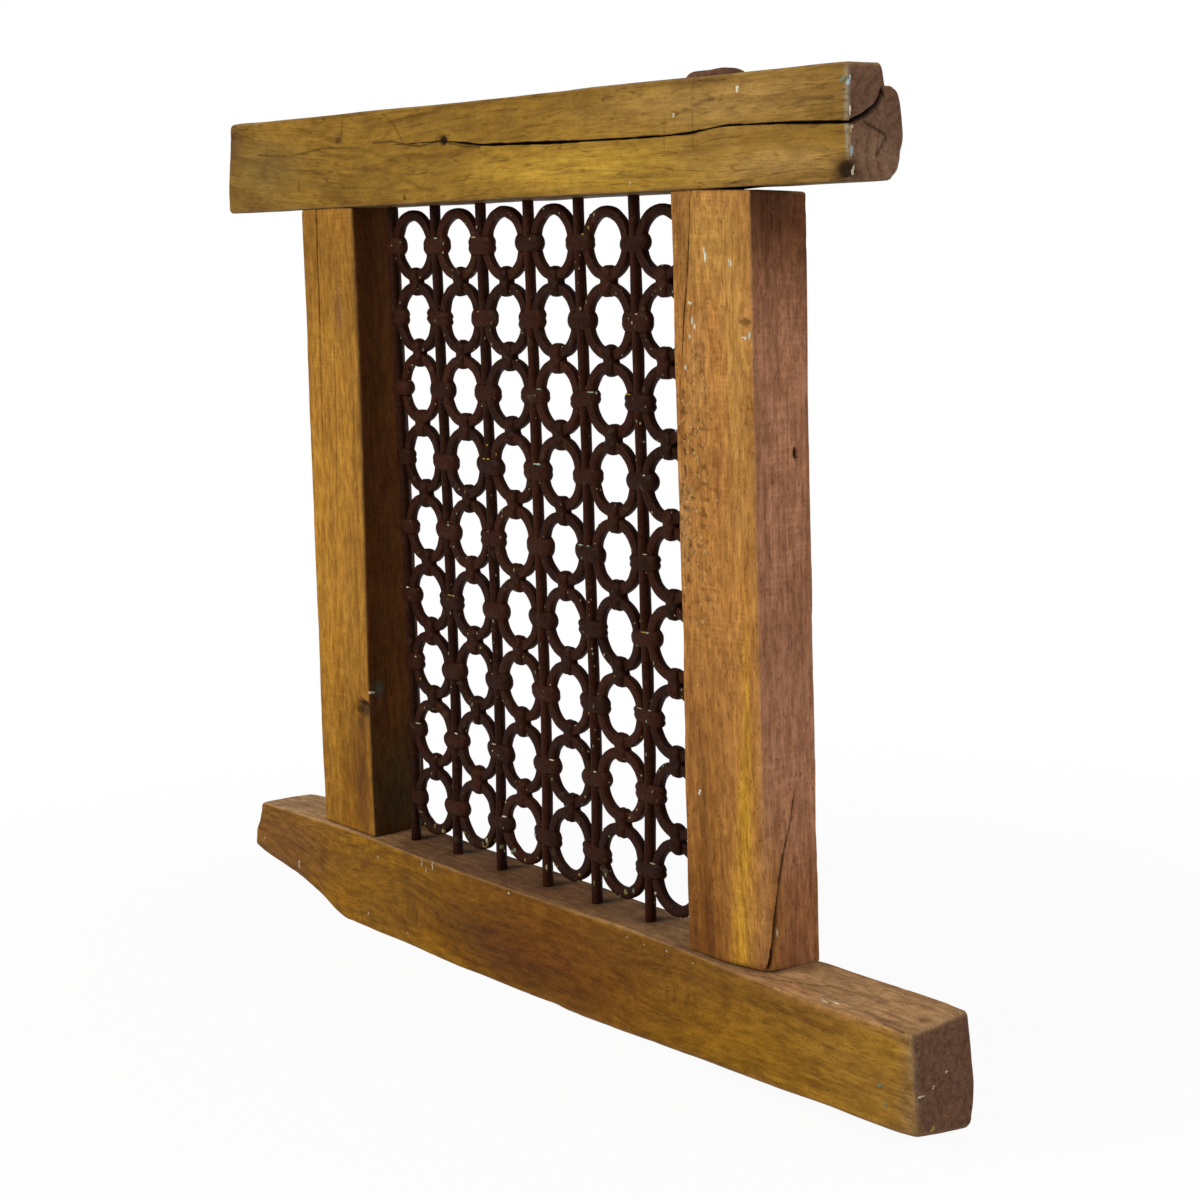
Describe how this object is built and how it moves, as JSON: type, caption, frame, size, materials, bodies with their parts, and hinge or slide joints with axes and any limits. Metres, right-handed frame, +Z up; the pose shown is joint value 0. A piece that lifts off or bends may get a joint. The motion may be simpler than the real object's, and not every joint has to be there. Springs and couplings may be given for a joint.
{
  "type": "jali window",
  "caption": "Rustic timber window frame with projecting sill and lintel horns, its opening filled by a wrought-iron grille of rings bound to upright bars by collars.",
  "frame": {"origin": "on the floor under the middle of the sill, halfway through the frame's depth", "axes": "+X along the sill to the right of the front, +Y from the front face to the back, +Z up"},
  "size_m": [0.919, 0.062, 0.7225],
  "materials": {
    "sill_timber": "oiled, worn old hardwood, mid brown",
    "lintel_timber": "oiled, worn old hardwood, golden olive",
    "jamb_timber": "oiled, worn old hardwood, golden orange",
    "wrought_iron": "blackened, hand-forged, traces of old paint"
  },
  "bodies": {
    "root": {"sill": "sill_timber", "lintel": "lintel_timber", "left_jamb": "jamb_timber", "right_jamb": "jamb_timber", "bar_1": "wrought_iron", "bar_2": "wrought_iron", "bar_3": "wrought_iron", "bar_4": "wrought_iron", "bar_5": "wrought_iron", "bar_6": "wrought_iron", "bar_7": "wrought_iron", "ring_column_1": "wrought_iron", "ring_column_2": "wrought_iron", "ring_column_3": "wrought_iron", "ring_column_4": "wrought_iron", "ring_column_5": "wrought_iron", "ring_column_6": "wrought_iron", "bar_collars_1": "wrought_iron", "bar_collars_2": "wrought_iron", "bar_collars_3": "wrought_iron", "bar_collars_4": "wrought_iron", "bar_collars_5": "wrought_iron", "bar_collars_6": "wrought_iron", "bar_collars_7": "wrought_iron", "ring_collars_1": "wrought_iron", "ring_collars_2": "wrought_iron", "ring_collars_3": "wrought_iron", "ring_collars_4": "wrought_iron", "ring_collars_5": "wrought_iron", "ring_collars_6": "wrought_iron"}
  },
  "joints": []
}
